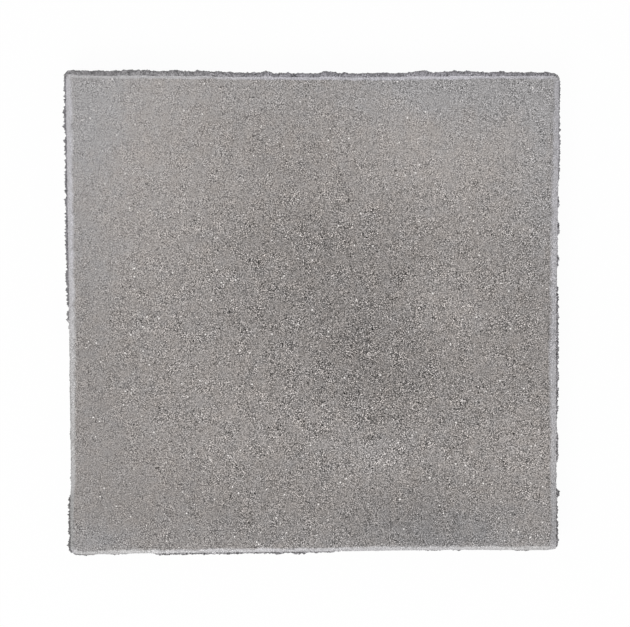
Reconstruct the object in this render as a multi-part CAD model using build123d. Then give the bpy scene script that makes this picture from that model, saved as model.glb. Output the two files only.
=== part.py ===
from build123d import *
import os

# Square concrete paving slab, pressed in one piece in a steel mould and lying on its bed face.
# Millimetres. The origin is the middle of the bed face, +Z is up, the sides run along X and Y.

# Overall size
slab_side = 500.0
slab_thickness = 50.0

# Edge of the walking face, from the face outwards: a bevel formed by the press plate, then the
# narrow rough arris left where that plate clears the mould wall
bevel_width = 5.0
bevel_drop = 4.0
bevel_blend_radius = 2.0
arris_width = 2.0
arris_drop = 1.5

# Corners in plan
wall_corner_radius = 6.0
bevel_foot_corner_radius = 5.0
face_corner_radius = 4.0

# Plan sizes that follow from the edge
bevel_foot_side = slab_side - 2 * arris_width
face_side = bevel_foot_side - 2 * bevel_width

# Levels above the bed face
bevel_foot_level = slab_thickness - bevel_drop
wall_top_level = bevel_foot_level - arris_drop


def outline(side, corner_radius, level):
    return Pos(0, 0, level) * RectangleRounded(side, side, corner_radius)


def paving_slab():
    wall_foot = outline(slab_side, wall_corner_radius, 0)
    wall_top = outline(slab_side, wall_corner_radius, wall_top_level)
    bevel_foot = outline(bevel_foot_side, bevel_foot_corner_radius, bevel_foot_level)
    face = outline(face_side, face_corner_radius, slab_thickness)

    # Straight sides between the outlines, so each stretch of wall, arris and bevel is flat
    walls = extrude(wall_foot, wall_top_level)
    arris = loft([wall_top, bevel_foot], ruled=True)
    bevel = loft([bevel_foot, face], ruled=True)
    slab = walls + arris + bevel

    # The press plate's inner edge is worn, so the bevel turns into the face on a small radius
    face_edges = slab.faces().sort_by(Axis.Z)[-1].edges()
    return fillet(face_edges, bevel_blend_radius)


os.makedirs("parts", exist_ok=True)
export_step(paving_slab(), "parts/paving_slab.step")
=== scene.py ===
import math
import bpy
import numpy as np
from mathutils import Matrix, Vector, noise


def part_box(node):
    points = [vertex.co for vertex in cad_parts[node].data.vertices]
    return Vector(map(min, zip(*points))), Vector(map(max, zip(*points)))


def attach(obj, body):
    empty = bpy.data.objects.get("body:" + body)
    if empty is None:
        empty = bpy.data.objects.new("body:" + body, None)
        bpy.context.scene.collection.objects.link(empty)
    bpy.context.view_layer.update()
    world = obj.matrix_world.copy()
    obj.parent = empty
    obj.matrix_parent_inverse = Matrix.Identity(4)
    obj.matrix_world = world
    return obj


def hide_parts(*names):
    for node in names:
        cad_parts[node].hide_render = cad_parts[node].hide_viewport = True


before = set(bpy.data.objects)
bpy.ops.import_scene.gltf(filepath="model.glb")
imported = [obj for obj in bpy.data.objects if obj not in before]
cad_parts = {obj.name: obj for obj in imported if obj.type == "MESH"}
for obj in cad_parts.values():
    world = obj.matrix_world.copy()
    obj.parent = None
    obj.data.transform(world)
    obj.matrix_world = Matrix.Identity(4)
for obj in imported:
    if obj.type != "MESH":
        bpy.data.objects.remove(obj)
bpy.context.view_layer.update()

mm = 0.001                     # the slab's lengths are millimetres, as on the drawing
boxLow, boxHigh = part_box("paving_slab")
halfSide = (boxHigh.x - boxLow.x) / 2 / mm
slabThick = (boxHigh.z - boxLow.z) / mm
print("frame loaded, slab", round(2 * halfSide, 1), "x", round(slabThick, 1), "mm")

# The slab as the press left it. Insets are counted from the wall and drops from the walking face, and
# places along a side are in X or Y.
castSlab = {
    "faceCells": 180,          # grid cells along one side of the walking face
    "faceInset": 14.0,         # where that square grid stops
    "bedCells": 90,
    "bedInset": 9.0,
    "sideHollow": 0.9,         # the sides bow in this much at the middle
    "plainFoot": 2.0,          # inset of the bevel's foot on the drawing
    "plainTop": 7.0,           # and of its top, where it meets the face
    "footDrop": 4.05,          # drop of the bevel's foot
    "wallDrop": 7.0,           # drop at which the wall starts
    "wanderRun": 1.0,          # the bevel's top wanders fully up to this far past it
    "highest": 0.4,            # nothing stands further above the face than this
    "grainFall": 1.6,          # the more, the smaller the grains are within their cells
    "hollowDepth": 0.35,
    # Hollows of the bed: noise size and shift, and the noise where one starts and where it is deepest
    "hollows": [(17.0, 0.0, 0.1, 0.7), (7.0, 4.0, 0.35, 0.8)],
    "cornerFade": 14.0,        # the corners keep to the drawing over this length
    "wearReach": (12.0, 3.0),  # a corner's wear starts at the first distance, and is full at the second
    "cornerRadii": {0.0: 6.0, 2.0: 5.0, 7.0: 4.0, 9.6: 3.5},     # by inset
    # The mould was a little out of square: how far each corner is from the drawing in X and Y, and how far
    # it has worn back
    "corners": {
        "frontLeft": {"shift": (-2.1, 2.4), "wear": 0.3},
        "frontRight": {"shift": (4.3, 2.2), "wear": 0.2},
        "backRight": {"shift": (0.4, -3.9), "wear": 0.2},
        "backLeft": {"shift": (-1.8, -1.3), "wear": -0.3},
    },
    # Layers of noise: size, height and shift
    "relief": {
        "face": [(4.5, 0.10, 0.0), (2.9, 0.07, 5.0)],
        "bevelTop": [(34.0, 0.8, 0.0), (9.0, 0.4, 0.0)],
        "bevel": [(3.0, 0.08, 0.0)],
        "arris": [(13.0, 0.9, 0.0), (4.8, 0.8, 0.0), (1.9, 0.3, 0.0)],
        "crumb": [(3.0, 0.5, 7.7), (8.0, 0.25, 2.2)],
        "wall": [(14.0, 0.374, 0.0), (3.6, 0.272, 0.0)],
        "drag": [(2.6, 0.238, 0.0)],
    },
    # Rough burr on the arris, and the arris where the burr broke away
    "burr": {
        "endLength": 3.0,      # a stretch of burr thins out over this length both ways
        "lowest": 10.0,        # drop down to which it reaches
        "begins": 2.2,         # inset where it begins,
        "spreads": 0.6,        # where it has its full spread outwards
        "crest": 1.1,          # and where it stands highest
        "crestFull": 4.6,      # it stands fully at this drop
        "crestEnds": 7.5,      # and no longer at this one
        "coarseGrain": 6.0,
        "coarseShare": 0.6,
        "fineGrain": 2.4,
        "roughOut": 0.9,       # how far its lumps and grains stand out
        "grainOut": 1.4,
        "bareGrain": 0.6,      # share of the grains left where it broke away
        "brokenIn": 1.05,      # how far the arris is set back there,
        "brokenDown": 0.3,     # and how much lower it is
        "standing": 0.4,       # how high the burr stands, and its lumps and grains on it
        "roughUp": 0.7,
        "grainUp": 0.9,
    },
    # Walls that the mould dragged upwards, with pits and a loose foot
    "walls": {
        "dragStretch": 0.16,   # the less, the longer the drag marks
        "pitSize": 7.5,
        "pitEdge": (0.52, 0.95),
        "pitDepth": 1.1,
        "pitField": (26.0, 3.1),   # pits come in groups: noise size and shift
        "pitFieldEdge": (0.1, 0.5),
        "footHeight": 6.0,
        "looseSize": 6.5,
        "looseShare": 0.2,
        "looseDepth": 1.2,
    },
    # Crumbs of mortar stand out most at one drop, and end half their height above and below it
    "crumb": {"drop": 6.0, "halfHeight": 7.0, "lump": 0.65, "steepness": 0.4},
    # Edge section from the face outwards and down to the bed: inset, drop, cells per side, zone
    "section": [
        (9.6, 0.00, 180, "face"),
        (7.9, 0.00, 360, "face"),
        (7.1, 0.16, 360, "bevel"),
        (6.2, 0.72, 360, "bevel"),
        (4.8, 1.80, 360, "bevel"),
        (3.4, 2.92, 360, "bevel"),
        (2.4, 3.72, 720, "bevel"),
        (1.8, 4.05, 720, "arris"),
        (1.2, 4.20, 720, "arris"),
        (0.6, 4.60, 720, "arris"),
        (0.1, 5.60, 720, "arris"),
        (0.0, 7.00, 720, "arris"),
        (0.1, 8.80, 720, "wall"),
        (0.2, 11.5, 360, "wall"),
        (0.2, 14.5, 360, "wall"),
        (0.2, 18.0, 360, "wall"),
        (0.2, 21.5, 360, "wall"),
        (0.2, 25.0, 360, "wall"),
        (0.2, 28.5, 360, "wall"),
        (0.2, 32.0, 360, "wall"),
        (0.2, 35.5, 360, "wall"),
        (0.2, 39.0, 360, "wall"),
        (0.2, 42.0, 360, "wall"),
        (0.1, 45.0, 360, "wall"),
        (0.1, 47.4, 360, "wall"),
        (0.3, 49.2, 360, "wall"),
        (1.2, 50.0, 360, "wall"),
        (3.6, 50.0, 180, "bed"),
        (6.5, 50.0, 90, "bed"),
    ],
    # The sides, in the order in which the outline runs round them. Each has the size of its lumps and of
    # its grains; places with how far the wall stands out, the insets of the bevel's foot and top, and how
    # pale and how blue the bevel is, the paleness partly the bevel's own and partly painted light that
    # sets how bright each side looks; stretches of burr, from, to and how much; and crumbs of mortar, with
    # place, half length and how far out.
    "sides": {
        "front": {
            "lumps": 0.9,
            "grains": 1.0,
            "places": [
                {"at": -220, "out": 0.1, "foot": 0.6, "top": 5.4, "paleAndLit": 1.05, "blue": 0.15},
                {"at": -172, "out": 0.1, "foot": 0.7, "top": 6.4, "paleAndLit": 1.18, "blue": 0.2},
                {"at": -160, "out": 1.0, "foot": 1.2, "top": 7.0, "paleAndLit": 1.24, "blue": 0.35},
                {"at": -130, "out": 1.0, "foot": 1.3, "top": 7.2, "paleAndLit": 1.27, "blue": 0.4},
                {"at": -40, "out": 1.0, "foot": 1.5, "top": 7.4, "paleAndLit": 1.19, "blue": 0.45},
                {"at": 10, "out": 0.8, "foot": 1.1, "top": 7.0, "paleAndLit": 1.13, "blue": 0.45},
                {"at": 50, "out": 0.0, "foot": 0.5, "top": 6.6, "paleAndLit": 1.10, "blue": 0.4},
                {"at": 140, "out": -0.8, "foot": 0.4, "top": 6.3, "paleAndLit": 1.17, "blue": 0.3},
                {"at": 220, "out": 0.0, "foot": 0.4, "top": 6.6, "paleAndLit": 1.13, "blue": 0.1},
            ],
            "burr": [
                (-246, -225, 0.7),
                (-210, -190, 0.6),
                (-164, 18, 1),
                (106, 130, 0.7),
                (140, 150, 0.8),
                (204, 220, 0.8),
            ],
            "crumbs": [],
        },
        "right": {
            "lumps": 1.2,
            "grains": 1.1,
            "places": [
                {"at": -220, "out": -1.0, "foot": 1.0, "top": 8.2, "paleAndLit": 0.87, "blue": 0.4},
                {"at": -130, "out": -0.2, "foot": 1.0, "top": 10.1, "paleAndLit": 1.13, "blue": 0.4},
                {"at": -40, "out": -0.1, "foot": 1.3, "top": 10.9, "paleAndLit": 1.06, "blue": 0.6},
                {"at": 40, "out": -0.3, "foot": 1.0, "top": 10.0, "paleAndLit": 1.10, "blue": 0.7},
                {"at": 130, "out": 0.4, "foot": 1.0, "top": 9.7, "paleAndLit": 1.14, "blue": 0.75},
                {"at": 220, "out": 0.2, "foot": 0.9, "top": 7.8, "paleAndLit": 1.02, "blue": 0.75},
            ],
            "burr": [
                (140, 246, 0.7),
                (112, 122, 0.9),
                (84, 96, 0.9),
                (50, 62, 0.9),
                (-105, 30, 1),
                (-155, -125, 1),
                (-193, -184, 1.3),
                (-246, -197, 0.9),
            ],
            "crumbs": [(-189, 2.6, 2.2), (175, 16, 0.8)],
        },
        "back": {
            "lumps": 1.0,
            "grains": 0.8,
            "places": [
                {"at": -220, "out": 0.2, "foot": 4.7, "top": 7.8, "paleAndLit": 1.14, "blue": 0.3},
                {"at": -130, "out": 0.9, "foot": 5.2, "top": 8.1, "paleAndLit": 1.21, "blue": 0.4},
                {"at": -40, "out": -0.7, "foot": 3.8, "top": 6.7, "paleAndLit": 1.26, "blue": 1.0},
                {"at": 40, "out": -0.5, "foot": 3.8, "top": 6.7, "paleAndLit": 1.20, "blue": 0.95},
                {"at": 130, "out": 0.9, "foot": 4.2, "top": 7.4, "paleAndLit": 1.40, "blue": 1.0},
                {"at": 220, "out": 0.7, "foot": 3.4, "top": 6.6, "paleAndLit": 1.20, "blue": 0.9},
            ],
            "burr": [(-256, 256, 1)],
            "crumbs": [
                (-181, 18, 1.5),
                (-142, 12, 1.2),
                (-112, 8, 1.1),
                (-47, 6, 3.0),
                (15, 9, 2.8),
                (108, 13, 1.9),
                (148, 11, 1.9),
                (165, 8, 1.0),
                (191, 3, 1.8),
            ],
        },
        "left": {
            "lumps": 1.5,
            "grains": 1.4,
            "places": [
                {"at": -235, "out": -0.1, "foot": 0.8, "top": 5.0, "paleAndLit": 0.72, "blue": 0.0},
                {"at": -191, "out": 0.0, "foot": 0.8, "top": 5.2, "paleAndLit": 0.73, "blue": 0.0},
                {"at": -179, "out": -0.9, "foot": 0.8, "top": 6.2, "paleAndLit": 0.94, "blue": 0.15},
                {"at": -130, "out": -0.5, "foot": 0.8, "top": 6.9, "paleAndLit": 0.96, "blue": 0.05},
                {"at": -30, "out": -0.2, "foot": 0.9, "top": 8.0, "paleAndLit": 1.03, "blue": 0.2},
                {"at": 60, "out": 0.0, "foot": 0.8, "top": 8.2, "paleAndLit": 1.09, "blue": 0.7},
                {"at": 140, "out": 0.1, "foot": 0.8, "top": 8.2, "paleAndLit": 1.10, "blue": 0.75},
                {"at": 220, "out": -0.2, "foot": 0.9, "top": 8.0, "paleAndLit": 1.04, "blue": 0.75},
            ],
            "burr": [
                (150, 256, 0.85),
                (10, 150, 1),
                (-5, 5, 0.9),
                (-230, -188, 0.8),
                (-250, -230, 0.9),
            ],
            "crumbs": [(-240, 9, 0.8), (-207, 14, 0.7), (205, 22, 0.7)],
        },
    },
}
sideNames = list(castSlab["sides"])


def noiseAt(points, size, shift=0.0):
    return np.array([noise.noise(Vector(p)) for p in points / size + shift])


def reliefAt(points, name):
    return sum(height * noiseAt(points, size, shift) for size, height, shift in castSlab["relief"][name])


def grainAt(points, size):
    # one at the heart of each grain, falling to zero between grains
    nearest = np.array([noise.voronoi(Vector(p))[0][0] for p in points / size])
    return np.clip(1.0 - nearest * castSlab["grainFall"], 0.0, 1.0)


def smoothStep(low, high, value):
    t = np.clip((value - low) / (high - low), 0.0, 1.0)
    return t * t * (3 - 2 * t)


def cornerSigns(name):
    # which way a corner lies from the middle, in X and Y
    return (1 if name.endswith("Right") else -1), (1 if name.startswith("back") else -1)


class EdgeRing:
    # a closed loop of points round the slab, each side counted from corner middle to corner middle
    def __init__(self, inset, drop, cells, zone):
        self.inset, self.drop, self.zone = inset, drop, zone
        half = halfSide - inset
        radii = castSlab["cornerRadii"]
        radius = np.interp(inset, list(radii), list(radii.values()))
        straight = 2 * (half - radius)
        arc = radius * math.pi / 4
        run = np.arange(cells) / cells * (straight + 2 * arc)
        bend = (np.minimum(run - arc, 0.0) + np.maximum(run - arc - straight, 0.0)) / radius
        across, outward = np.sin(bend), np.cos(bend)
        along = np.clip(run - arc, 0.0, straight) - straight / 2 + radius * across
        out = half - radius + radius * outward
        points, normals, places = [], [], []
        for turn in range(len(sideNames)):
            c, s = math.cos(turn * math.pi / 2), math.sin(turn * math.pi / 2)
            points.append(np.stack([c * along + s * out, s * along - c * out, 0 * along], 1))
            normals.append(np.stack([c * across + s * outward, s * across - c * outward], 1))
            places.append(points[-1][:, turn % 2])
        self.points = np.concatenate(points)
        self.points[:, 2] = slabThick - drop
        self.normals = np.concatenate(normals)
        self.places = np.concatenate(places)
        self.sides = np.repeat(np.arange(len(sideNames)), cells)
        self.push = np.zeros(len(self.points))
        self.lift = np.zeros(len(self.points))

    def onSide(self, name):
        return (self.sides == sideNames.index(name)).astype(float)

    def sideValue(self, key, plain):
        # a value from the places along each side, which is the plain one at the corners
        fade = smoothStep(0.0, castSlab["cornerFade"], halfSide - np.abs(self.places))
        value = np.full(len(self.places), plain)
        for name, side in castSlab["sides"].items():
            at = [place["at"] for place in side["places"]]
            along = np.interp(self.places, at, [place[key] for place in side["places"]])
            value += self.onSide(name) * fade * (along - plain)
        return value

    def bySide(self, key):
        # one value for each side, which is less at the corners
        length = castSlab["cornerFade"]
        fade = smoothStep(-length, length, halfSide - np.abs(self.places))
        return fade * sum(self.onSide(name) * side[key] for name, side in castSlab["sides"].items())

    def wear(self):
        # how far the rounded corners have worn back
        worn = np.zeros(len(self.places))
        for name, corner in castSlab["corners"].items():
            signX, signY = cornerSigns(name)
            toX = halfSide - self.points[:, 0] * signX
            toY = halfSide - self.points[:, 1] * signY
            worn += corner["wear"] * smoothStep(*castSlab["wearReach"], toX + toY)
        return worn

    def burr(self):
        # 1 where the burr stands, 0 where it has broken away
        burr = np.zeros(len(self.places))
        end = castSlab["burr"]["endLength"]
        for name, side in castSlab["sides"].items():
            for low, high, share in side["burr"]:
                inside = smoothStep(low - end, low + end, self.places)
                inside *= smoothStep(-high - end, -high + end, -self.places)
                burr = np.maximum(burr, share * inside * self.onSide(name))
        return burr

    def placed(self):
        solid = self.points.copy()
        solid[:, :2] += self.normals * self.push[:, None]
        solid[:, 2] = np.clip(solid[:, 2] + self.lift, 0.0, slabThick + castSlab["highest"])
        return solid


def pressBevel(ring):
    # each side's bevel is as wide as the worn press plate left it
    plainFoot, plainTop, grid = castSlab["plainFoot"], castSlab["plainTop"], castSlab["faceInset"]
    foot, top = ring.sideValue("foot", plainFoot), ring.sideValue("top", plainTop)
    if ring.inset <= plainFoot:
        inset = foot * ring.inset / plainFoot
    elif ring.inset <= plainTop:
        inset = foot + (top - foot) * (ring.inset - plainFoot) / (plainTop - plainFoot)
    else:
        inset = top + (grid - top) * (ring.inset - plainTop) / (grid - plainTop)
    ring.push += ring.inset - inset
    # a narrow bevel keeps its slope, so it stops higher up
    narrow = 1 - (top - foot) / (plainTop - plainFoot)
    footDrop, wallDrop = castSlab["footDrop"], castSlab["wallDrop"]
    ring.lift += narrow * np.interp(ring.drop, [0.0, footDrop, wallDrop], [0.0, footDrop, 0.0])
    stops = [plainFoot, plainTop, plainTop + castSlab["wanderRun"], grid]
    ring.push += np.interp(ring.inset, stops, [0.0, 1.0, 1.0, 0.0]) * reliefAt(ring.points, "bevelTop")
    ring.lift += reliefAt(ring.points, "bevel")


def breakArris(ring):
    # the burr stands in ragged lumps, and where it broke away the arris is lower and further in
    shape = castSlab["burr"]
    burr, broken = ring.burr(), 1 - ring.burr()
    rough = reliefAt(ring.points, "arris")
    coarse = grainAt(ring.points, shape["coarseGrain"])
    fine = grainAt(ring.points, shape["fineGrain"])
    grains = shape["coarseShare"] * coarse + ring.bySide("grains") * fine
    outer = smoothStep(shape["begins"], shape["spreads"], ring.inset)
    crest = smoothStep(shape["begins"], shape["crest"], ring.inset)
    crest *= smoothStep(shape["crestEnds"], shape["crestFull"], ring.drop)
    held = shape["bareGrain"] + (1 - shape["bareGrain"]) * burr
    spread = rough * shape["roughOut"] + held * grains * shape["grainOut"] - broken * shape["brokenIn"]
    risen = shape["standing"] + rough * shape["roughUp"] + grains * shape["grainUp"]
    ring.push += outer * ring.bySide("lumps") * spread
    ring.lift += crest * burr * risen - crest * broken * shape["brokenDown"]


def dragWall(ring):
    # the mould drags the wet walls upwards and leaves pits, and the foot crumbles
    shape = castSlab["walls"]
    dragged = reliefAt(ring.points * np.array([1, 1, shape["dragStretch"]]), "drag")
    pits = smoothStep(*shape["pitEdge"], grainAt(ring.points, shape["pitSize"]))
    pits *= smoothStep(*shape["pitFieldEdge"], noiseAt(ring.points, *shape["pitField"]))
    loose = np.clip(noiseAt(ring.points, shape["looseSize"]) + shape["looseShare"], 0.0, 1.0)
    loose *= smoothStep(shape["footHeight"], 0.0, ring.points[:, 2])
    ring.push += reliefAt(ring.points, "wall") + dragged
    ring.push -= pits * shape["pitDepth"] + loose * shape["looseDepth"]


def addCrumbs(ring):
    shape = castSlab["crumb"]
    lumps = shape["lump"] + reliefAt(ring.points, "crumb")
    level = np.clip(1 - ((ring.drop - shape["drop"]) / shape["halfHeight"]) ** 2, 0.0, 1.0)
    for name, side in castSlab["sides"].items():
        for at, half, out in side["crumbs"]:
            near = np.clip(1 - ((ring.places - at) / half) ** 2, 0.0, 1.0) ** shape["steepness"]
            ring.push += ring.onSide(name) * near * level * out * lumps


def shapeRing(ring):
    if ring.zone in ("face", "bevel", "arris"):
        pressBevel(ring)
    if ring.zone == "arris" or (ring.zone == "wall" and ring.drop < castSlab["burr"]["lowest"]):
        breakArris(ring)
    if ring.zone == "wall":
        dragWall(ring)
    if ring.zone in ("arris", "wall"):
        addCrumbs(ring)
    bow = castSlab["sideHollow"] * (1 - (ring.places / halfSide) ** 2)
    ring.push += ring.sideValue("out", 0.0) - bow - ring.wear()
    return ring.placed()


def squareGrid(cells, inset, level):
    line = np.linspace(-(halfSide - inset), halfSide - inset, cells + 1)
    x, y = np.meshgrid(line, line)
    return np.stack([x.ravel(), y.ravel(), np.full(x.size, level)], 1)


def gridRim(cells):
    # grid indices round the border, in the same order as an EdgeRing
    row = cells + 1
    front = list(range(cells))
    right = [j * row + cells for j in range(cells)]
    back = [cells * row + cells - j for j in range(cells)]
    left = [(cells - j) * row for j in range(cells)]
    return np.array(front + right + back + left)


def outOfSquare(points):
    # moves each point by a blend of the four corners' shifts
    u = points[:, 0] / halfSide / 2 + 0.5
    v = points[:, 1] / halfSide / 2 + 0.5
    moved = points.copy()
    for name, corner in castSlab["corners"].items():
        signX, signY = cornerSigns(name)
        share = (u if signX > 0 else 1 - u) * (v if signY > 0 else 1 - v)
        moved[:, :2] += share[:, None] * np.array(corner["shift"])
    return moved


# What each point tells the face's material: how much burr stands on it, how pale and how blue the
# edge is there (the paleness partly painted light), and how far out on the edge it is
plainMarks = {"burrShare": 0.0, "edgePaleAndLit": 1.0, "edgeBlue": 0.5, "edgeReach": 0.0}


class MeshParts:
    def __init__(self):
        self.points, self.faces, self.zones = [], [], []
        self.marks = {name: [] for name in plainMarks}
        self.count = 0

    def add(self, points, **marks):
        start = self.count
        self.points.append(points)
        for name, plain in plainMarks.items():
            self.marks[name].append(np.zeros(len(points)) + marks.get(name, plain))
        self.count += len(points)
        return start

    def bridge(self, upper, lower, zone):
        # joins two closed loops of vertex numbers, the same size or one twice the other
        a, b = len(upper), len(lower)
        for i in range(min(a, b)):
            k = (i + 1) % min(a, b)
            first, middle, last = 2 * i, 2 * i + 1, (2 * i + 2) % max(a, b)
            if a == b:
                made = [(upper[i], lower[i], lower[k], upper[k])]
            elif b == 2 * a:
                made = [
                    (upper[i], lower[first], lower[middle]),
                    (upper[i], lower[middle], upper[k]),
                    (upper[k], lower[middle], lower[last]),
                ]
            else:
                made = [
                    (upper[first], lower[i], upper[middle]),
                    (upper[middle], lower[i], lower[k]),
                    (upper[middle], lower[k], upper[last]),
                ]
            self.faces += made
            self.zones += [zone] * len(made)

    def grid(self, start, cells, zone, up):
        row = cells + 1
        for j in range(cells):
            for i in range(cells):
                a = start + j * row + i
                quad = (a, a + 1, a + row + 1, a + row)
                self.faces.append(quad if up else quad[::-1])
                self.zones.append(zone)


def buildSlab():
    parts = MeshParts()
    face = squareGrid(castSlab["faceCells"], castSlab["faceInset"], slabThick)
    face[:, 2] += reliefAt(face, "face")
    start = parts.add(face)
    parts.grid(start, castSlab["faceCells"], "face", True)
    loop = start + gridRim(castSlab["faceCells"])
    innermost = castSlab["section"][0][0]
    for inset, drop, cells, zone in castSlab["section"]:
        ring = EdgeRing(inset, drop, cells, zone)
        marks = {
            "burrShare": ring.burr() if zone == "arris" else 0.0,
            "edgePaleAndLit": ring.sideValue("paleAndLit", plainMarks["edgePaleAndLit"]),
            "edgeBlue": ring.sideValue("blue", plainMarks["edgeBlue"]),
            "edgeReach": innermost - inset,
        }
        first = parts.add(shapeRing(ring), **marks)
        below = np.arange(first, first + len(ring.points))
        parts.bridge(loop, below, zone)
        loop = below
    bed = squareGrid(castSlab["bedCells"], castSlab["bedInset"], 0.0)
    hollows = np.zeros(len(bed))
    for size, shift, shallow, full in castSlab["hollows"]:
        hollows += smoothStep(shallow, full, noiseAt(bed, size, shift))
    bed[:, 2] += hollows * castSlab["hollowDepth"]
    first = parts.add(bed)
    parts.bridge(loop, first + gridRim(castSlab["bedCells"]), "bed")
    parts.grid(first, castSlab["bedCells"], "bed", False)
    return parts


def makeSlab(materials):
    parts = buildSlab()
    points = outOfSquare(np.concatenate(parts.points))
    mesh = bpy.data.meshes.new("cast_slab")
    mesh.from_pydata((points * mm).tolist(), [], [tuple(int(v) for v in f) for f in parts.faces])
    zoneMaterial = {"face": 0, "bevel": 0, "arris": 0, "wall": 1, "bed": 2}
    for name in ("face", "wall", "bed"):
        mesh.materials.append(materials[name])
    mesh.polygons.foreach_set("material_index", [zoneMaterial[z] for z in parts.zones])
    mesh.polygons.foreach_set("use_smooth", [z != "arris" for z in parts.zones])
    for name, values in parts.marks.items():
        layer = mesh.attributes.new(name, "FLOAT", "POINT")
        layer.data.foreach_set("value", np.concatenate(values).astype(np.float32))
    mesh.update()
    mesh.validate()
    slab = bpy.data.objects.new("cast_slab", mesh)
    bpy.context.scene.collection.objects.link(slab)
    triangles = sum(len(p.vertices) - 2 for p in mesh.polygons)
    print("slab mesh", len(mesh.vertices), "points,", triangles, "triangles")
    return slab


class NodeBench:
    # shorthands for laying out shader nodes in one tree
    def __init__(self, tree):
        self.tree = tree

    def node(self, kind, **settings):
        made = self.tree.nodes.new(kind)
        for key, value in settings.items():
            setattr(made, key, value)
        return made

    def put(self, socket, value):
        if isinstance(value, bpy.types.NodeSocket):
            self.tree.links.new(value, socket)
        else:
            socket.default_value = value

    def math(self, operation, first, second=0.0, clamp=False):
        made = self.node("ShaderNodeMath", operation=operation, use_clamp=clamp)
        self.put(made.inputs[0], first)
        self.put(made.inputs[1], second)
        return made.outputs[0]

    def ramp(self, value, low, high, toLow=0.0, toHigh=1.0):
        made = self.node("ShaderNodeMapRange", interpolation_type="SMOOTHSTEP")
        for socket, given in zip(made.inputs, (value, low, high, toLow, toHigh)):
            self.put(socket, given)
        return made.outputs[0]

    def swing(self, value, weight):
        # a value about one half becomes one about zero
        return self.math("MULTIPLY", self.math("SUBTRACT", value, 0.5), weight)

    def mixColor(self, share, first, second, blend="MIX"):
        made = self.node("ShaderNodeMix", data_type="RGBA", blend_type=blend)
        self.put(made.inputs[0], share)
        self.put(made.inputs[6], first)
        self.put(made.inputs[7], second)
        return made.outputs[2]

    def tinted(self, first, second):
        return self.mixColor(1.0, first, second, "MULTIPLY")

    def noise(self, vector, scale, detail, roughness):
        made = self.node("ShaderNodeTexNoise")
        self.put(made.inputs["Vector"], vector)
        self.put(made.inputs["Scale"], scale)
        self.put(made.inputs["Detail"], detail)
        self.put(made.inputs["Roughness"], roughness)
        return made.outputs["Fac"]

    def cells(self, vector, scale):
        # distance to the cell's middle, and two random values of the cell
        made = self.node("ShaderNodeTexVoronoi", feature="F1")
        self.put(made.inputs["Vector"], vector)
        self.put(made.inputs["Scale"], scale)
        split = self.node("ShaderNodeSeparateColor")
        self.put(split.inputs[0], made.outputs["Color"])
        return made.outputs["Distance"], split.outputs[0], split.outputs[1]


sandGrain = {
    "gapSwing": -1.8,          # how much the tone follows the gaps between grains,
    "dustSwing": 0.6,          # the finer dust
    "broadSwing": 0.12,        # and broader clouds
    "dustScale": 1.67,         # scales as shares of the grain's own
    "broadScale": 0.4,
    "speckScale": 0.6,
    "broadNoise": (2.0, 0.6),  # detail and roughness
    "middleDrop": 0.065,       # the more contrast, the lower the middle, so the mean tone stays the same
    "speckReach": 0.24,
    "speckVaries": 0.3,
    "speckEdge": 0.12,
    "pitShare": 8.0,           # pits for each speck
    "speckFade": 0.8,          # both are fainter where the paste is smooth
    "pitFade": 0.47,
    "dustHeight": 0.3,
}


def sandGrainGroup():
    # sand in the cement paste: tone is a multiplier about 1, speck a mask, height is for bump
    group = bpy.data.node_groups.new("sandGrain", "ShaderNodeTree")
    for name in ("Grain", "Contrast", "Specks"):
        group.interface.new_socket(name, in_out="INPUT", socket_type="NodeSocketFloat")
    group.interface.new_socket("Vector", in_out="INPUT", socket_type="NodeSocketVector")
    for name in ("Tone", "Speck", "Height"):
        group.interface.new_socket(name, in_out="OUTPUT", socket_type="NodeSocketFloat")
    b = NodeBench(group)
    sand = sandGrain
    given = b.node("NodeGroupInput").outputs
    out = b.node("NodeGroupOutput").inputs
    gap = b.cells(given["Vector"], given["Grain"])[0]
    dust = b.cells(given["Vector"], b.math("MULTIPLY", given["Grain"], sand["dustScale"]))[1]
    broadScale = b.math("MULTIPLY", given["Grain"], sand["broadScale"])
    broad = b.noise(given["Vector"], broadScale, *sand["broadNoise"])
    swing = b.math("ADD", b.swing(gap, sand["gapSwing"]), b.swing(dust, sand["dustSwing"]))
    swing = b.math("ADD", swing, b.swing(broad, sand["broadSwing"]))
    swing = b.math("SUBTRACT", swing, b.math("MULTIPLY", given["Contrast"], sand["middleDrop"]))
    tone = b.math("POWER", math.e, b.math("MULTIPLY", swing, given["Contrast"]))
    # a few cells hold a pale speck, others a pit darkened with painted shade
    speckScale = b.math("MULTIPLY", given["Grain"], sand["speckScale"])
    speckGap, speckPick, speckSize = b.cells(given["Vector"], speckScale)
    reach = b.math("ADD", b.math("MULTIPLY", speckSize, sand["speckVaries"]), sand["speckReach"])
    dot = b.ramp(b.math("SUBTRACT", reach, speckGap), 0.0, sand["speckEdge"])
    chosen = b.math("GREATER_THAN", b.math("ADD", speckPick, given["Specks"]), 1.0)
    bare = b.math("MULTIPLY", given["Contrast"], sand["speckFade"], True)
    b.put(out["Speck"], b.math("MULTIPLY", b.math("MULTIPLY", chosen, dot), bare))
    # painted shade: a pit is only darkened here, it has no depth in the height
    pitted = b.math("LESS_THAN", speckPick, b.math("MULTIPLY", given["Specks"], sand["pitShare"]))
    depth = b.math("MULTIPLY", given["Contrast"], sand["pitFade"], True)
    pitShade = b.math("MULTIPLY", b.math("MULTIPLY", pitted, dot), depth)
    b.put(out["Tone"], b.math("MULTIPLY", tone, b.math("SUBTRACT", 1.0, pitShade)))
    b.put(out["Height"], b.math("SUBTRACT", b.math("MULTIPLY", dust, sand["dustHeight"]), gap))
    return group


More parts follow.
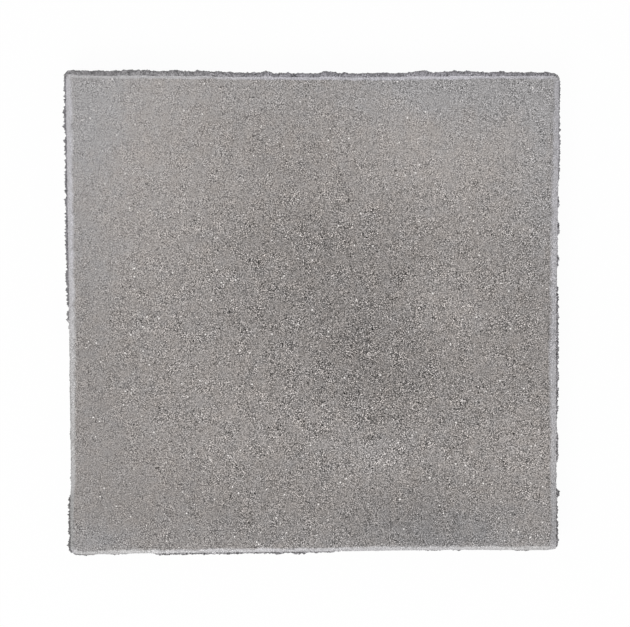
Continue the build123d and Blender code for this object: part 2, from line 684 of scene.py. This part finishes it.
def newMaterial(name):
    material = bpy.data.materials.new(name)
    material.use_nodes = True
    material.node_tree.nodes.clear()
    b = NodeBench(material.node_tree)
    output = b.node("ShaderNodeOutputMaterial")
    shader = b.node("ShaderNodeBsdfPrincipled")
    b.put(output.inputs["Surface"], shader.outputs[0])
    coords = b.node("ShaderNodeTexCoord").outputs["Object"]
    return material, b, shader, coords


def placeGrain(b, group, coords, look, contrast):
    made = b.node("ShaderNodeGroup", node_tree=group)
    b.put(made.inputs["Vector"], coords)
    b.put(made.inputs["Grain"], look["grain"])
    b.put(made.inputs["Contrast"], contrast)
    b.put(made.inputs["Specks"], look["specks"])
    return made.outputs


def frayed(b, coords, look):
    # coordinates that wander, so that patches and holes have no neat border
    fray = b.node("ShaderNodeTexNoise")
    b.put(fray.inputs["Vector"], coords)
    b.put(fray.inputs["Scale"], look["frayScale"])
    b.put(fray.inputs["Detail"], look["frayDetail"])
    centred = b.node("ShaderNodeVectorMath", operation="SUBTRACT")
    b.put(centred.inputs[0], fray.outputs["Color"])
    b.put(centred.inputs[1], (0.5, 0.5, 0.5))
    moved = b.node("ShaderNodeVectorMath", operation="MULTIPLY_ADD")
    b.put(moved.inputs[0], centred.outputs[0])
    b.put(moved.inputs[1], look["frayReach"])
    b.put(moved.inputs[2], coords)
    return moved.outputs[0]


def finishShader(b, shader, look, color, height):
    bump = b.node("ShaderNodeBump")
    b.put(bump.inputs["Strength"], look["bump"])
    b.put(bump.inputs["Distance"], look["bumpDepth"])
    b.put(bump.inputs["Height"], height)
    b.put(shader.inputs["Base Color"], color)
    b.put(shader.inputs["Roughness"], look["rough"])
    b.put(shader.inputs["Specular IOR Level"], look["specular"])
    b.put(shader.inputs["Normal"], bump.outputs[0])


# Noises are scale, detail and roughness. Ramps are from, to, and the values there if not 0 and 1.
faceLook = {
    "paste": (0.319, 0.2928, 0.2765, 1.0),
    "cool": (0.302, 0.2938, 0.2955, 1.0),      # where more cement came up
    "bevel": (0.485, 0.476, 0.486, 1.0),
    # burr: partly the rough crust's own darker tone, partly painted shade
    "burr": (0.219, 0.213, 0.220, 1.0),
    "warmTint": (1.0, 1.0, 0.968, 1.0),        # bevel and burr are between these two
    "blueTint": (1.0, 1.0, 1.045, 1.0),
    "speck": (0.92, 0.89, 0.865, 1.0),
    "grain": 810.0,                            # grains per metre
    "contrast": 1.51,
    "specks": 0.0125,                          # share of cells that hold a pale speck
    "rough": 0.9,
    "specular": 0.3,
    "bump": 0.5,
    "bumpDepth": 0.0006,
    "bevelSmooth": 0.7,                        # how much of the bump the bevel lacks
    "bevelSand": 0.5,                          # the bevel's tone follows the sand this much,
    "bevelPlain": 0.52,                        # and starts from this
    "bevelRamp": (2.0, 5.6),                   # where the face turns into bevel, by edgeReach
    "footRamp": (3.2, 7.6, 1.04, 0.9),         # the bevel is darker towards its foot
    "burrRamp": (0.1, 0.85),
    "mottleNoise": (110.0, 4.0, 0.7),          # makes the bevel's border uneven
    "mottleRamp": (0.3, 0.7, 0.78, 1.22),
    "lumpNoise": (240.0, 2.0, 0.6),            # light and dark lumps of burr
    "lumpRamp": (0.3, 0.7, 0.72, 1.26),
    "gritNoise": (62.0, 3.0, 0.6),             # more and less bare sand
    "gritRamp": (0.25, 0.75, 0.52, 1.48),
    "coolNoise": (70.0, 4.0, 0.7),
    "coolSwing": 1.4,
    "cloudNoise": (60.0, 3.0, 0.6),
    "cloudSwing": 0.12,
    "frayScale": 14.0,
    "frayDetail": 3.0,
    "frayReach": (0.07, 0.07, 0.0),
    "plainFace": {"tone": 1.0, "grit": 1.0, "cool": 0.25},
    "patchEdge": 1.15,                         # patches fade out at this many half axes,
    "patchDepth": 1000.0,                      # and reach right through the slab
    # Broad tones of the walking face: centre, half axes and turn, change of tone and grit, share of cool
    "patches": [
        {"at": (-225, 190), "size": (190, 220), "turn": 0, "tone": 0.20, "grit": -0.45, "cool": 0.10},
        {"at": (-236, 228), "size": (80, 100), "turn": 0, "tone": 0.0, "grit": 0.0, "cool": 0.45},
        {"at": (-244, 130), "size": (70, 170), "turn": 0, "tone": 0.0, "grit": 0.0, "cool": 0.35},
        {"at": (-236, -240), "size": (70, 50), "turn": 0, "tone": 0.04, "grit": 0.0, "cool": 0.5},
        {"at": (0, 236), "size": (330, 60), "turn": 0, "tone": 0.07, "grit": -0.10, "cool": 0.32},
        {"at": (-20, 200), "size": (260, 120), "turn": 0, "tone": 0.02, "grit": -0.20, "cool": 0.0},
        {"at": (-190, -190), "size": (120, 110), "turn": 0, "tone": -0.03, "grit": -0.28, "cool": 0.0},
        {"at": (195, 208), "size": (200, 150), "turn": 0, "tone": 0.14, "grit": -0.24, "cool": 0.12},
        {"at": (165, 240), "size": (160, 54), "turn": 0, "tone": 0.0, "grit": 0.0, "cool": 0.66},
        {"at": (236, 150), "size": (60, 160), "turn": 0, "tone": 0.05, "grit": 0.0, "cool": 0.50},
        {"at": (110, 150), "size": (140, 80), "turn": -10, "tone": 0.11, "grit": -0.10, "cool": 0.0},
        {"at": (-238, -40), "size": (70, 300), "turn": 0, "tone": -0.06, "grit": -0.33, "cool": 0.08},
        {"at": (8, 28), "size": (140, 150), "turn": 15, "tone": -0.145, "grit": 0.18, "cool": 0.0},
        {"at": (88, -66), "size": (110, 85), "turn": -35, "tone": -0.135, "grit": 0.30, "cool": 0.0},
        {"at": (68, -137), "size": (85, 36), "turn": 5, "tone": 0.105, "grit": 0.10, "cool": 0.2},
        {"at": (114, -212), "size": (110, 50), "turn": 0, "tone": -0.14, "grit": 0.0, "cool": 0.15},
        {"at": (175, -236), "size": (150, 55), "turn": 0, "tone": -0.02, "grit": -0.15, "cool": 0.45},
        {"at": (-65, -205), "size": (250, 80), "turn": 0, "tone": -0.10, "grit": 0.0, "cool": 0.0},
        {"at": (-30, -244), "size": (330, 50), "turn": 0, "tone": 0.0, "grit": 0.0, "cool": 0.26},
        {"at": (0, -100), "size": (90, 80), "turn": 0, "tone": 0.0, "grit": 0.15, "cool": 0.0},
        {"at": (221, -17), "size": (55, 140), "turn": 0, "tone": -0.06, "grit": 0.1, "cool": 0.0},
        {"at": (139, 13), "size": (60, 70), "turn": 0, "tone": 0.08, "grit": 0.0, "cool": 0.0},
        {"at": (221, -140), "size": (70, 70), "turn": 0, "tone": 0.06, "grit": 0.0, "cool": 0.0},
    ],
}


def patchSums(b, wandering, look):
    sums = dict(look["plainFace"])
    for patch in look["patches"]:
        (x, y), (wide, high) = patch["at"], patch["size"]
        place = b.node("ShaderNodeMapping", vector_type="TEXTURE")
        b.put(place.inputs["Vector"], wandering)
        b.put(place.inputs["Location"], (x * mm, y * mm, 0.0))
        b.put(place.inputs["Rotation"], (0.0, 0.0, math.radians(patch["turn"])))
        b.put(place.inputs["Scale"], (wide * mm, high * mm, look["patchDepth"]))
        far = b.node("ShaderNodeVectorMath", operation="LENGTH")
        b.put(far.inputs[0], place.outputs[0])
        inside = b.ramp(far.outputs["Value"], look["patchEdge"], 0.0)
        for key in sums:
            if patch[key]:
                sums[key] = b.math("ADD", b.math("MULTIPLY", inside, patch[key]), sums[key])
    return sums["tone"], sums["grit"], sums["cool"]


def faceMaterial(group):
    material, b, shader, coords = newMaterial("pressedFace")
    look = faceLook
    tone, grit, cool = patchSums(b, frayed(b, coords, look), look)
    grit = b.math("MULTIPLY", grit, b.ramp(b.noise(coords, *look["gritNoise"]), *look["gritRamp"]))
    grain = placeGrain(b, group, coords, look, b.math("MULTIPLY", grit, look["contrast"]))
    reach, burr, paleAndLit, blue = [
        b.node("ShaderNodeAttribute", attribute_name=name).outputs["Fac"]
        for name in ("edgeReach", "burrShare", "edgePaleAndLit", "edgeBlue")
    ]
    # the face, with clouds of cooler and lighter paste
    cool = b.math("ADD", cool, b.swing(b.noise(coords, *look["coolNoise"]), look["coolSwing"]), True)
    cloud = b.swing(b.noise(coords, *look["cloudNoise"]), look["cloudSwing"])
    faceTone = b.math("MULTIPLY", b.math("ADD", tone, cloud), grain["Tone"])
    face = b.tinted(b.mixColor(cool, look["paste"], look["cool"]), faceTone)
    # the smooth bevel
    tint = b.mixColor(blue, look["warmTint"], look["blueTint"])
    bevelTone = b.math("MULTIPLY", grain["Tone"], look["bevelSand"])
    # painted light: the paleness also makes each side's bevel and burr lighter or darker, as the light on
    # that side would
    bevelTone = b.math("MULTIPLY", b.math("ADD", bevelTone, look["bevelPlain"]), paleAndLit)
    bevelTone = b.math("MULTIPLY", bevelTone, b.ramp(reach, *look["footRamp"]))
    bevel = b.tinted(b.tinted(tint, look["bevel"]), bevelTone)
    # the burr, darker partly from its own rough, dirty crust and partly from painted shade of the shaded
    # arris
    lumpTone = b.ramp(b.noise(coords, *look["lumpNoise"]), *look["lumpRamp"])
    lumpTone = b.math("MULTIPLY", b.math("MULTIPLY", grain["Tone"], lumpTone), paleAndLit)
    crustAndShade = b.tinted(b.tinted(tint, look["burr"]), lumpTone)
    # one over the other
    mottle = b.ramp(b.noise(coords, *look["mottleNoise"]), *look["mottleRamp"])
    onBevel = b.ramp(b.math("MULTIPLY", reach, mottle), *look["bevelRamp"])
    color = b.mixColor(grain["Speck"], face, look["speck"])
    color = b.mixColor(onBevel, color, bevel)
    color = b.mixColor(b.ramp(burr, *look["burrRamp"]), color, crustAndShade)
    uneven = b.math("SUBTRACT", 1.0, b.math("MULTIPLY", onBevel, look["bevelSmooth"]))
    finishShader(b, shader, look, color, b.math("MULTIPLY", grain["Height"], uneven))
    return material


wallLook = {
    "paste": (0.34, 0.33, 0.325, 1.0),
    "stone": (0.42, 0.41, 0.395, 1.0),
    # painted shade: the colour of the inside of a hole
    "pitShade": (0.15, 0.145, 0.14, 1.0),
    "grain": 620.0,
    "contrast": 0.9,
    "specks": 0.01,
    "rough": 0.95,
    "specular": 0.25,
    "bump": 0.8,
    "bumpDepth": 0.0012,
    "cellScale": 115.0,        # cells per metre, some with a stone or a hole in them
    "stonePick": 0.72,         # cells above this have a stone
    "stoneRamp": (0.5, 0.3),
    "holePick": 0.3,           # cells below this have a hole
    "holeReach": (0.44, 0.14),         # largest and smallest
    "holeEdge": 0.16,
    "holeDepth": 2.0,
    "cloudNoise": (26.0, 4.0, 0.6),
    "cloudRamp": (0.3, 0.7, 0.84, 1.16),
    "frayScale": 260.0,
    "frayDetail": 3.0,
    "frayReach": (0.006, 0.006, 0.006),
}


def wallMaterial(group):
    material, b, shader, coords = newMaterial("mouldedWall")
    look = wallLook
    grain = placeGrain(b, group, coords, look, look["contrast"])
    gap, pick, other = b.cells(frayed(b, coords, look), look["cellScale"])
    chosen = b.math("GREATER_THAN", pick, look["stonePick"])
    stones = b.math("MULTIPLY", chosen, b.ramp(gap, *look["stoneRamp"]))
    holeReach = b.ramp(other, 0.0, look["holePick"], *look["holeReach"])
    holes = b.ramp(b.math("SUBTRACT", holeReach, gap), 0.0, look["holeEdge"])
    holes = b.math("MULTIPLY", b.math("LESS_THAN", other, look["holePick"]), holes)
    cloud = b.ramp(b.noise(coords, *look["cloudNoise"]), *look["cloudRamp"])
    color = b.mixColor(stones, look["paste"], look["stone"])
    # painted shade: the holes are coloured dark for the shade inside them, and the bump only dents them a
    # little
    color = b.mixColor(holes, color, look["pitShade"])
    color = b.tinted(color, b.math("MULTIPLY", cloud, grain["Tone"]))
    height = b.math("SUBTRACT", grain["Height"], b.math("MULTIPLY", holes, look["holeDepth"]))
    finishShader(b, shader, look, color, height)
    return material


bedLook = {
    "paste": (0.31, 0.30, 0.288, 1.0),
    "dust": (0.42, 0.405, 0.385, 1.0),
    # painted shade: the colour of the inside of a hole
    "pitShade": (0.15, 0.145, 0.14, 1.0),
    "grain": 560.0,
    "contrast": 0.8,
    "specks": 0.01,
    "rough": 0.92,
    "specular": 0.25,
    "bump": 0.6,
    "bumpDepth": 0.001,
    "cellScale": 85.0,
    "holePick": 0.2,
    "holeRamp": (0.36, 0.2),
    "holeDepth": 2.0,
    "cloudNoise": (12.0, 5.0, 0.6),
    "cloudRamp": (0.35, 0.7),
}


def bedMaterial(group):
    material, b, shader, coords = newMaterial("bedUnderside")
    look = bedLook
    grain = placeGrain(b, group, coords, look, look["contrast"])
    gap, pick = b.cells(coords, look["cellScale"])[:2]
    holes = b.math("MULTIPLY", b.math("LESS_THAN", pick, look["holePick"]), b.ramp(gap, *look["holeRamp"]))
    cloud = b.ramp(b.noise(coords, *look["cloudNoise"]), *look["cloudRamp"])
    color = b.mixColor(cloud, look["paste"], look["dust"])
    # painted shade: the holes are coloured dark for the shade inside them, and the bump only dents them a
    # little
    color = b.mixColor(holes, color, look["pitShade"])
    color = b.tinted(color, grain["Tone"])
    height = b.math("SUBTRACT", grain["Height"], b.math("MULTIPLY", holes, look["holeDepth"]))
    finishShader(b, shader, look, color, height)
    return material


grainGroup = sandGrainGroup()
materials = {
    "face": faceMaterial(grainGroup),
    "wall": wallMaterial(grainGroup),
    "bed": bedMaterial(grainGroup),
}
print("materials ready")

slab = makeSlab(materials)
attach(slab, "root")
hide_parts("paving_slab")

studio = {
    "floorSize": 14.0,
    "floorColor": (0.86, 0.86, 0.86, 1.0),
    "floorShadow": 0.035,      # how much of the shadow shows on the white floor
    "white": (1.0, 1.0, 1.0, 1.0),
    "skyStrength": 0.62,
    "keyPlace": (-0.78, -0.92, 2.64),
    "keySize": 1.6,
    "keyPower": 40.0,
}


def whiteRays(b):
    # 1 for the rays that should meet a plain white ground
    ray = b.node("ShaderNodeLightPath").outputs
    mirrored = b.math("MAXIMUM", ray["Is Glossy Ray"], ray["Is Transmission Ray"])
    return b.math("MAXIMUM", ray["Is Camera Ray"], mirrored)


def makeFloor():
    half = studio["floorSize"] / 2
    corners = [(-half, -half, 0), (half, -half, 0), (half, half, 0), (-half, half, 0)]
    mesh = bpy.data.meshes.new("floor")
    mesh.from_pydata(corners, [], [(0, 1, 2, 3)])
    floor = bpy.data.objects.new("floor", mesh)
    bpy.context.scene.collection.objects.link(floor)
    material = bpy.data.materials.new("paleFloor")
    material.use_nodes = True
    material.node_tree.nodes.clear()
    b = NodeBench(material.node_tree)
    output = b.node("ShaderNodeOutputMaterial")
    diffuse = b.node("ShaderNodeBsdfDiffuse")
    b.put(diffuse.inputs["Color"], studio["floorColor"])
    white = b.node("ShaderNodeEmission")
    lit = b.node("ShaderNodeMixShader")
    b.put(lit.inputs[0], b.math("MULTIPLY", whiteRays(b), 1.0 - studio["floorShadow"]))
    b.put(lit.inputs[1], diffuse.outputs[0])
    b.put(lit.inputs[2], white.outputs[0])
    # from below, the floor is clear, so the bed face can be looked at
    clear = b.node("ShaderNodeBsdfTransparent")
    under = b.node("ShaderNodeMixShader")
    b.put(under.inputs[0], b.node("ShaderNodeNewGeometry").outputs["Backfacing"])
    b.put(under.inputs[1], lit.outputs[0])
    b.put(under.inputs[2], clear.outputs[0])
    b.put(output.inputs["Surface"], under.outputs[0])
    mesh.materials.append(material)


def makeSky():
    world = bpy.data.worlds.new("softSky")
    bpy.context.scene.world = world
    world.use_nodes = True
    world.node_tree.nodes.clear()
    b = NodeBench(world.node_tree)
    output = b.node("ShaderNodeOutputWorld")
    sky = b.node("ShaderNodeBackground")
    b.put(sky.inputs["Strength"], studio["skyStrength"])
    b.put(sky.inputs["Color"], studio["white"])
    white = b.node("ShaderNodeBackground")
    b.put(white.inputs["Color"], studio["white"])
    mix = b.node("ShaderNodeMixShader")
    b.put(mix.inputs[0], whiteRays(b))
    b.put(mix.inputs[1], sky.outputs[0])
    b.put(mix.inputs[2], white.outputs[0])
    b.put(output.inputs["Surface"], mix.outputs[0])


def makeKeyLight():
    data = bpy.data.lights.new("keyLight", "AREA")
    data.energy = studio["keyPower"]
    data.size = studio["keySize"]
    light = bpy.data.objects.new("keyLight", data)
    light.location = studio["keyPlace"]
    light.rotation_mode = "QUATERNION"
    light.rotation_quaternion = (-Vector(studio["keyPlace"])).to_track_quat("-Z", "Y")
    bpy.context.scene.collection.objects.link(light)


makeFloor()
makeSky()
makeKeyLight()

# The picture is taken from almost straight above, leaning towards the back edge
view = {
    "distance": 2.3,           # metres from the walking face
    "tilt": 6.16,              # degrees
    "roll": 2.46,
    "turn": 0.28,
    "offset": (-0.0007, -0.0022),
    "focalPixels": 2249.8,     # focal length in pixels of a picture this wide
    "frameWidth": 630,
    "sensor": 36.0,
    "clip": (0.1, 50.0),
}


def makeCamera():
    data = bpy.data.cameras.new("photoCamera")
    data.sensor_width = view["sensor"]
    data.lens = view["focalPixels"] / view["frameWidth"] * view["sensor"]
    data.clip_start, data.clip_end = view["clip"]
    camera = bpy.data.objects.new("photoCamera", data)
    turned = Matrix.Rotation(math.radians(view["turn"]), 3, "Z")
    turned = turned @ Matrix.Rotation(math.radians(view["roll"]), 3, "Y")
    turned = turned @ Matrix.Rotation(math.radians(view["tilt"]), 3, "X")
    back = turned.transposed()
    eye = back @ Vector((-view["offset"][0], -view["offset"][1], view["distance"]))
    eye.z += slabThick * mm
    camera.matrix_world = Matrix.Translation(eye) @ back.to_4x4()
    bpy.context.scene.collection.objects.link(camera)
    bpy.context.scene.camera = camera


makeCamera()
bpy.context.scene.view_settings.view_transform = "Standard"
print("stage ready")
